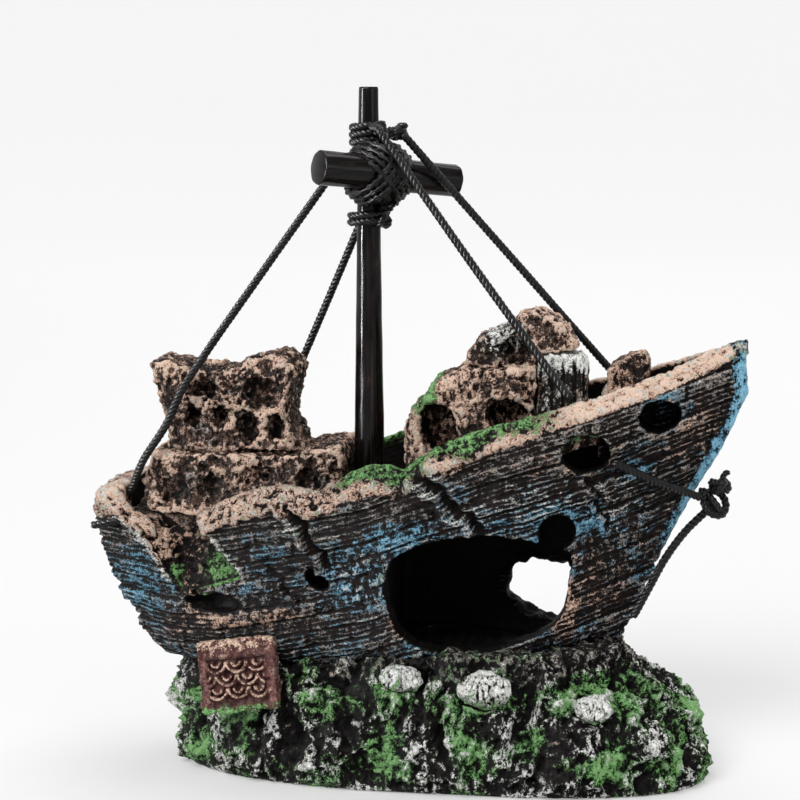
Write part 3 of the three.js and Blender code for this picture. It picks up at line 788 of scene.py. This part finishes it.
def sculpt_hull(points, normals):
    x, y, z = points.T
    nx, ny, nz = normals.T
    rail = rail_curve(points)
    strake = np.mean([rail(x + step) for step in range(-9, 10, 3)], 0) - z
    below_rail = rail(x) - z
    forward = stem_curve(points)(z) - x

    # How much a point faces out of the ship: high on the outer skin, low in holes and inside
    lean = ramp(x, 25, 58) - ramp(x, -48, -60)
    outward = (nx * lean * 1.2 + ny * np.sign(y)) / np.hypot(1, 0.5 * lean)
    outer = ramp(outward, 0.25, 0.55)

    # Where the worn rim, the broken quarter and the painted stem take the place of planks
    ragged = 1.1 * cloud(points, 3.2, 2, shift=5)
    band = BAND + (BAND_FORWARD - BAND) * ramp(x, 5, 35)
    rim = ramp(below_rail + ragged, band, band - 1.6) * outer
    rim = np.maximum(rim, ramp(nz, 0.35, 0.6) * ramp(below_rail, 4.5, 2.5))
    gap, torn, edge = break_parts(points, outer)
    stem = ramp(forward + 0.6 * cloud(points, 2.5, 2), 3.2, 2.2)
    stem *= ramp(np.abs(y), 4.6, 3.4) * ramp(z, 38, 44)
    planked = outer * (1 - rim) * (1 - gap) * (1 - stem)
    crumbled = np.maximum(rim, gap)

    rough = 0.4 * cloud(points, 1.3, 3, (1.5, 1.5, 0.9)) + 0.35 * cloud(points, 6, 2)
    height = planking(points, strake) * planked + rough * (1 - 0.6 * stem) * (0.4 + 0.6 * outer)
    height += crumbled * pits(points) + frayed_mouth(points) + crack_relief(points) * outer

    net = patches(points, NET_PATCHES) * (1 - rim)
    paints = {"strake": strake, "rim": np.clip(np.maximum(np.maximum(crumbled, stem), net), 0, 1)}
    paints.update(hull_paints(points, below_rail, outer, rim, stem, gap, torn, edge))
    return height, paints


# Outline of the broken quarter in the side view; its first edges are the torn rim, top to bottom
BREAK_OUTLINE = [
    (-61, 51.8),
    (-51.2, 46.6),
    (-43.4, 34.8),
    (-30.4, 38.9),
    (-39.4, 49.8),
    (-31, 57),
    (-62, 63),
]


def outline_sides(points, outline):
    """Whether each point is inside an outline in the side view, and its distance from it in mm."""
    z = points[:, 2]
    inside = np.zeros(len(points), bool)
    away = np.full(len(points), np.inf)
    for (x1, z1), (x2, z2) in zip(outline, outline[1:] + outline[:1]):
        share, beside = beside_line(points, (x1, z1), (x2, z2))
        length = math.hypot(x2 - x1, z2 - z1)
        away = np.minimum(away, np.hypot(beside, length * (share - np.clip(share, 0, 1))))
        inside ^= ((z1 > z) != (z2 > z)) & ((beside > 0) == (z2 < z1))
    return inside, away


def break_parts(points, outer):
    """The broken quarter's whole space, its torn rim and its pale outer edges, each 0 to 1."""
    starboard = ramp(points[:, 1], -2, -4)
    z = points[:, 2]
    inside, away = outline_sides(points, BREAK_OUTLINE)
    gap = np.maximum(inside * ramp(away, 0, 0.5), ramp(away, 1.1, 0.6) * (1 - outer)) * starboard
    wavy = 0.8 * cloud(points, 3, 2, shift=12)
    upper, above = beside_line(points, BREAK_OUTLINE[0], BREAK_OUTLINE[1])
    lower, beside = beside_line(points, BREAK_OUTLINE[1], BREAK_OUTLINE[2])
    torn = ramp(above + wavy, 5.4, 4.2) * ramp(upper, 1.1, 1.0)
    torn = np.maximum(torn, ramp(beside + wavy, 4.0, 2.8) * ramp(lower, 0.7, 0.45) * ramp(lower, -0.1, 0.0))
    edge = ramp(away, 1.0, 0.4) * (1 - gap) * starboard * ramp(z, 36.5, 39) * ramp(z, 53, 51)
    return gap, gap * torn, edge


# Patches in the side view, as x, z, half-width, half-height and strength. In the first ones the paint
# forms a net of short marks instead of lines.
NET_PATCHES = [(-7, 40, 9, 9, 1.0), (2, 50, 10, 4, 0.7), (-30, 33, 22, 6, 0.7), (36, 44, 10, 12, 0.6)]
BLUE_PATCHES = [
    (46.5, 71, 6.5, 5.5, 0.4),
    (41.3, 60, 3.5, 2.6, 0.35),
    (29, 51, 9, 5, 0.26),
    (14, 51.5, 9, 3.5, 0.2),
    (0, 47.5, 10, 4, 0.34),
    (-9, 41, 7, 9, 0.18),
    (-26, 46, 10, 6, 0.14),
    (-15, 53, 8, 6, 0.14),
    (-52, 38, 9, 9, 0.2),
    (6, 57, 9, 3, 0.2),
]
TAN_PATCHES = [
    (28.5, 33, 3, 8, 0.42),
    (35, 37, 8, 10, 0.18),
    (-30, 31.5, 16, 4, 0.26),
    (-40, 28, 10, 6, 0.18),
    (-1, 31, 3, 3, 0.4),
    (8.5, 62, 3, 3, 0.5),
    (50, 67, 9, 8, 0.24),
    (30, 61, 14, 5, 0.14),
    (-47.5, 55, 8, 5, 0.2),
]
WHITE_PATCHES = [
    (-9, 39, 6, 10, 0.14),
    (4, 46.8, 8, 2, 0.3),
    (22, 54, 12, 5, 0.2),
    (37, 54, 7, 6, 0.2),
    (3, 58, 5, 4, 0.26),
    (11, 51, 5, 4, 0.26),
    (-22, 50, 3, 5, 0.2),
]


def patches(points, places):
    return sum(strength * patch(points, *where) for *where, strength in places)


def hull_paints(points, below_rail, outer, rim, stem, gap, torn, edge):
    x, y, z = points.T
    drift = cloud(points, 9, 2)
    plain = outer * (1 - rim) * (1 - gap)
    starboard = ramp(y, 1, -2)
    side = plain * (0.5 + 0.5 * starboard)
    moss_rail = ramp(x, -15, -9) * ramp(x, 30, 22) * ramp(below_rail + 1.5 * drift, 4.0, 1.8)
    bank = gap * (patch(points, -34.5, 39.5, 6.5, 8) + patch(points, -44.5, 37.5, 2.6, 5))
    # Painted shade high up inside the broken quarter
    shaded = gap * (1 - torn) * ramp(z + 0.4 * (x + 40), 42, 48)
    upper = ramp(below_rail, 14, 5)
    chipped = stem * (0.85 + 0.6 * cloud(points, 3, 3, shift=20)) * (0.6 + 0.4 * ramp(z, 40, 56))
    rim_tan = rim * (0.66 + 0.4 * ramp(x, 8, 40) + 0.3 * drift) * (1 - 0.4 * moss_rail)
    blue = (0.36 + 0.16 * drift) * (1 - 0.5 * upper) + patches(points, BLUE_PATCHES)
    return {
        "grey": plain * (0.48 + 0.08 * upper + 0.12 * drift + 0.3 * edge),
        "blue": side * np.clip(blue, 0, 0.8) * (1 - stem) + chipped * (1 - 0.5 * rim),
        "tan": np.maximum(rim_tan, 0.4 * torn) * (1 - 0.7 * stem)
        + plain * (0.2 + patches(points, TAN_PATCHES)) * (1 - stem)
        + 0.34 * gap,
        "white": side * (0.16 + patches(points, WHITE_PATCHES) + 0.4 * edge) * (1 - stem)
        + 0.22 * rim + 0.2 * moss_rail + 0.26 * bank + 0.1 * torn,
        "moss": 0.56 * moss_rail + 0.7 * np.clip(bank, 0, 1),
        # Painted shade: near-black inside the hull, in its holes and high in the broken quarter
        "painted_shade": (1 - outer) * (1 - rim) * (1 - gap) * 0.74 + 0.8 * shaded,
    }


# ---- Houses, decks and fittings ----


def sculpt_coral(scale, depth, tan):
    """A sculpt for broken, pitted resin whose edges are picked out in tan."""

    def sculpt(points, normals):
        z = points[:, 2]
        near = cells(points, 2.4 * scale)
        small = cells(points, 1.1 * scale, shift=7.3)
        rough = cloud(points, 1.0, 3)
        lumps = cloud(points, 5.5, 2)
        deep = 0.8 * ramp(near, 0.38, 0.08) * ramp(lumps, -0.3, 0.25) + 0.5 * ramp(small, 0.36, 0.1)
        height = depth * (0.35 * ramp(near, 0.3, 0.8) - deep + 0.55 * rough + 0.6 * lumps)
        drift = cloud(points, 6, 2, shift=3.1)
        paints = {
            "umber": 0.72 + 0.3 * drift,
            "tan": tan + 0.5 * drift + 0.1 * ramp(z, z.min(), z.min() + 14),
            "grey": 0.34 + 0.1 * drift,
            "white": 0.1,
        }
        return height, paints

    return sculpt


def sculpt_forecastle(points, normals):
    height, paints = sculpt_coral(1.0, 0.8, 0.5)(points, normals)
    paints["moss"] = 0.8 * patch(points, 1.5, 73, 4, 5) + 0.5 * ramp(points[:, 2], 60, 57)
    paints["white"] = 0.1 + 0.55 * patch(points, 17, 83, 6, 4)
    return height, paints


DECK_PLANK = 2.8
CRATE_RIB = 2.1


def sculpt_deck(points, normals):
    x, y, _ = points.T
    seams = ramp(off_line(y, DECK_PLANK), 0.4, 0.1)
    height = 0.4 * cloud(points, 1.6, 3) + 0.3 * cloud(points, 5, 2) - 0.35 * seams
    drift = cloud(points, 6, 2)
    paints = {
        "strake": y,
        "grey": 0.42 + 0.3 * drift,
        "tan": 0.42 + 0.5 * drift,
        "moss": (0.36 + 0.8 * drift) * ramp(x, -36, -24),
        # Painted shade: the decks darken towards the stern
        "painted_shade": 0.5 * ramp(x, -30, -40),
    }
    return height, paints


def sculpt_crate(points, normals):
    """Upright ribs with a bright, rubbed top."""
    x, y, z = points.T
    splits = ramp(off_line(x + y, CRATE_RIB), 0.5, 0.15)
    height = 0.4 * cloud(points, 1.4, 3, (1, 1, 2.5)) - 0.5 * splits
    top = ramp(z, z.max() - 4.5, z.max() - 1.5)
    return height, {"white": 0.2 + 0.7 * top + 0.3 * cloud(points, 4, 2), "tan": 0.3, "grey": 0.4}


# ---- Base ----

# Patches of paint on the rock, given as they are for the hull
ROCK_WHITE = [(15, 11, 6, 6, 0.3), (30, 16, 9, 4, 0.3)]
ROCK_TAN = [(-38, 22, 9, 7, 0.5), (-15, 20, 5, 4, 0.3)]


def sculpt_base(points, normals):
    z = points[:, 2]
    bend = np.stack([cloud(points, 6, 3), cloud(points, 6, 3, shift=9), np.zeros(len(points))], 1)
    warped = points + 2.2 * bend
    ridges = np.abs(cloud(warped, 6.0, 2, (1, 1, 2.6)))
    fine = np.abs(cloud(warped, 2.4, 3, (1, 1, 1.5), shift=4))
    lumps = cloud(points, 9, 2, shift=2)
    stones = ramp(cells(points, 3.0, (1, 1, 1.4)), 0.2, 0.7)
    grit = cloud(points, 1.2, 2)
    wall = ramp(z, 0.0, 2.2) * (0.35 + 0.65 * ramp(np.abs(normals[:, 2]), 0.97, 0.75))
    height = wall * (1.3 - 4.0 * ridges - 2.0 * fine + 1.5 * lumps + 0.5 * stones + 0.5 * grit)

    drift = cloud(points, 7.5, 2, shift=6)
    below_ship = 0.3 + 0.7 * ramp(z, 23.5, 18)
    white = 0.18 + 0.55 * cloud(points, 5, 2, shift=1.7)
    paints = {
        "grey": 0.16 + 0.2 * ramp(z, 17, 21),
        "moss": (0.5 + 0.85 * drift) * (0.6 + 0.4 * ramp(z, 0.5, 4)) * below_ship,
        "white": white * below_ship + patches(points, ROCK_WHITE),
        "tan": 0.05 + patches(points, ROCK_TAN),
    }
    return np.clip(height, -2.6, 2.4), paints


def sculpt_stone(points, normals):
    """A block of white rock with dark upright splits, mossy at its foot."""
    z = points[:, 2]
    splits = ramp(np.abs(cloud(points, 1.7, 2, (0.8, 0.8, 3.2))), 0.12, 0.02)
    height = 0.5 * cloud(points, 3, 3) - 0.8 * splits + 0.25 * cloud(points, 0.9, 2)
    foot = ramp(z, z.min() + 0.55 * (z.max() - z.min()), z.min())
    moss = 0.55 * foot + 0.4 * cloud(points, 3, 2)
    return height, {"white": 0.86 - 0.3 * foot, "moss": moss, "grey": 0.6}


# Rows of scales on the plaque: height of their middles and sideways shift
SCALE_WIDTH = 3.9
SCALE_ROWS = [(2.5, 0), (0.1, SCALE_WIDTH / 2), (-2.3, 0)]
SCALE_RADII = (1.85, 0.8)
PLAQUE_TURN = Matrix.Rotation(math.radians(-12), 3, "X") @ Matrix.Rotation(math.radians(-7), 3, "Y")


def sculpt_plaque(points, normals):
    """Rows of carved fish scales inside a raised border, which stand for no letters."""
    low, high = box_mm("plaque")
    local = (points - (low + high) / 2) @ np.array(PLAQUE_TURN)
    across, face, up = local.T
    front = ramp(face, -0.3, -1.0)
    carved = np.zeros(len(points))
    for middle, shift in SCALE_ROWS:
        beside = (across + shift + SCALE_WIDTH / 2) % SCALE_WIDTH - SCALE_WIDTH / 2
        below = middle - up
        for radius in SCALE_RADII:
            arc = np.abs(np.hypot(beside, below) - radius)
            carved = np.maximum(carved, ramp(arc, 0.42, 0.16) * ramp(below, -0.3, 0.1))
    panel = front * ramp(np.abs(across), 6.0, 5.5) * ramp(np.abs(up + 1), 4.9, 4.3)
    height = 1.0 * carved * panel + 0.4 * cloud(points, 1.5, 3) + 0.3 * cloud(points, 5, 2)
    drift = cloud(points, 5, 2)
    paints = {
        "tan": 0.2 + 0.5 * ramp(up, 3.8, 5.6) + 0.3 * drift + 0.34 * carved * panel,
        "grey": 0.3,
        "moss": 0.6 * ramp(up, -4.6, -6) + 0.2 * drift,
        # Painted shade on the panel's ground between the raised scales
        "painted_shade": 0.55 * (1 - carved) * panel,
    }
    return height, paints


def make_resin():
    layers = ["grey", "blue", "tan", "white", "moss"]
    wood = painted_resin("hull_paint", "0D0B0B", "2E2522", 0.34, layers, grained=True)
    layers = ["umber", "grey", "tan", "white", "moss"]
    house = painted_resin("house_paint", "100C0B", "33251F", 0.3, layers)
    deck = painted_resin("deck_paint", "120E0C", "2F2620", 0.3, ["grey", "tan", "moss"], grained=True)
    rock = painted_resin("rock_paint", "0B0A0A", "262322", 0.34, ["grey", "tan", "moss", "white"])
    crate = painted_resin("crate_paint", "0E0C0B", "2A221F", 0.3, ["grey", "tan", "white"])
    stone = painted_resin("stone_paint", "1A1917", "4A4844", 0.3, ["grey", "white", "moss"])
    plaque = painted_resin("plaque_paint", "482B29", "8C625C", 0.16, ["grey", "tan", "moss"])

    carve("hull", 0.5, sculpt_hull, wood, "hull_resin")
    carve("rock_base", 0.5, sculpt_base, rock, "rock", soften=3)
    for node in ("quarterdeck", "waist_deck", "foredeck"):
        carve(node, 0.45, sculpt_deck, deck, "deck_resin")
    edges = {"crest_tan": 0.5, "black_at": -0.7}
    carve("stern_tier", 0.35, sculpt_coral(1.0, 0.8, 0.38), house, "house_resin", **edges)
    carve("stern_cabin", 0.35, sculpt_coral(1.1, 0.95, 0.28), house, "house_resin", **edges)
    carve("forecastle", 0.35, sculpt_forecastle, house, "house_resin", **edges)
    carve("forecastle_cabin", 0.32, sculpt_forecastle, house, "house_resin", **edges)
    carve("bow_bitt", 0.3, sculpt_coral(0.7, 0.4, 0.56), house, "house_resin")
    carve("crate", 0.3, sculpt_crate, crate, "crate_resin")
    for node in ("white_stone_front", "white_stone_left", "white_stone_right"):
        carve(node, 0.25, sculpt_stone, stone, "white_stone")
    carve("plaque", 0.22, sculpt_plaque, plaque, "plaque_resin", soften=1)


# ---- Air parts ----


def air_materials():
    s = Shader("sintered_air_stone")
    grains = s.cells(s.place(), 0.5)
    tint = s.cloud(s.place(), 2.5)
    tone = s.blend(s.remap(grains, 0.15, 0.6), colour("3E4A52"), colour("A9B6BC"))
    tone = s.blend(s.remap(tint, 0.4, 0.7, 0.0, 0.4), tone, colour("6F7A70"))
    stone = s.finish(tone, s.remap(tint, 0.3, 0.7, 0.8, 0.95), grains, 0.3, 1.0)

    s = Shader("moulded_nipple")
    mottle = s.cloud(s.place(), 1.6, 3.0)
    fine = s.cloud(s.place(), 0.15, 2.0)
    tone = s.blend(s.remap(mottle, 0.35, 0.7), colour("5F6466"), colour("83898B"))
    fitting = s.finish(tone, s.remap(mottle, 0.3, 0.7, 0.35, 0.5), fine, 0.03, 0.5)
    return stone, fitting


def make_air_parts():
    stone, fitting = air_materials()
    for node, material in (("air_stone", stone), ("air_nipple", fitting)):
        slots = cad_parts[node].data.materials
        slots.clear()
        slots.append(material)


# ---- Studio ----

# Radius and height in metres of each ring of the floor, which curves up into a wall
FLOOR_RINGS = [
    (0.001, -0.0002),
    (0.4, -0.0002),
    (0.9, -0.0002),
    (1.3, 0.03),
    (1.6, 0.14),
    (1.8, 0.34),
    (1.9, 0.7),
    (1.93, 1.5),
]
FLOOR_SIDES = 96
SKY = 0.34
# Place, width and height in metres and power in watts of each light
LIGHTS = {
    "key_light": ((-0.35, -0.7, 0.75), 0.5, 0.5, 8.0),
    "fill_light": ((0.75, -0.5, 0.35), 0.5, 0.5, 1.5),
    "top_light": ((0.1, 0.3, 1.0), 0.7, 0.7, 5.0),
    "strip_light": ((-0.62, -0.3, 0.16), 0.08, 0.5, 18.0),
}
GLOSS_ONLY = "strip_light"  # lights no diffuse surface, only glossy reflections, such as the streak on the varnish
LIGHTS_AIM = Vector((0, 0, 0.06))


def floor_material():
    """Matt white that glows a little, less in front of the ship than behind it."""
    s = Shader("studio_white")
    diffuse = s.add("ShaderNodeBsdfDiffuse", {"Color": (0.5, 0.5, 0.5, 1)})
    place = s.add("ShaderNodeSeparateXYZ", {"Vector": s.add("ShaderNodeTexCoord").outputs["Object"]})
    near = s.remap(place.outputs[1], -0.7, -0.15, 0.1, 0.33)
    far = s.remap(place.outputs[1], -0.1, 1.2, 0.0, 0.24)
    strength = s.sum((near, 1.0), (far, 1.0))
    glow = s.add("ShaderNodeEmission", {"Color": (1, 1, 1, 1), "Strength": strength})
    both = s.add("ShaderNodeAddShader", {0: diffuse.outputs[0], 1: glow.outputs[0]})
    return s.end(both.outputs[0])


def make_floor():
    angles = [TAU * k / FLOOR_SIDES for k in range(FLOOR_SIDES)]
    vertices = [(r * math.cos(a), r * math.sin(a), z) for r, z in FLOOR_RINGS for a in angles]
    faces = wall_faces(len(FLOOR_RINGS), FLOOR_SIDES) + [tuple(range(FLOOR_SIDES))]
    mesh = bpy.data.meshes.new("studio_floor")
    mesh.from_pydata(vertices, [], faces)
    mesh.shade_smooth()
    mesh.materials.append(floor_material())
    floor = linked("studio_floor", mesh)


def make_light(name, place, width, height, power):
    light = bpy.data.lights.new(name, "AREA")
    light.shape = "RECTANGLE"
    light.size = width
    light.size_y = height
    light.energy = power
    lamp = linked(name, light)
    lamp.visible_diffuse = name != GLOSS_ONLY
    lamp.location = place
    aim(lamp, LIGHTS_AIM - Vector(place))


def make_studio():
    """A pale round floor, soft lights and a pale sky."""
    make_floor()
    world = bpy.data.worlds.new("studio")
    world.use_nodes = True
    background = world.node_tree.nodes["Background"]
    background.inputs["Color"].default_value = (1, 1, 1, 1)
    background.inputs["Strength"].default_value = SKY
    bpy.context.scene.world = world
    bpy.context.scene.view_settings.view_transform = "Standard"
    for name, settings in LIGHTS.items():
        make_light(name, *settings)


make_camera()
cord = cord_material()
make_cords(cord)
make_windings(cord)
make_spars()
make_resin()
make_air_parts()
make_studio()
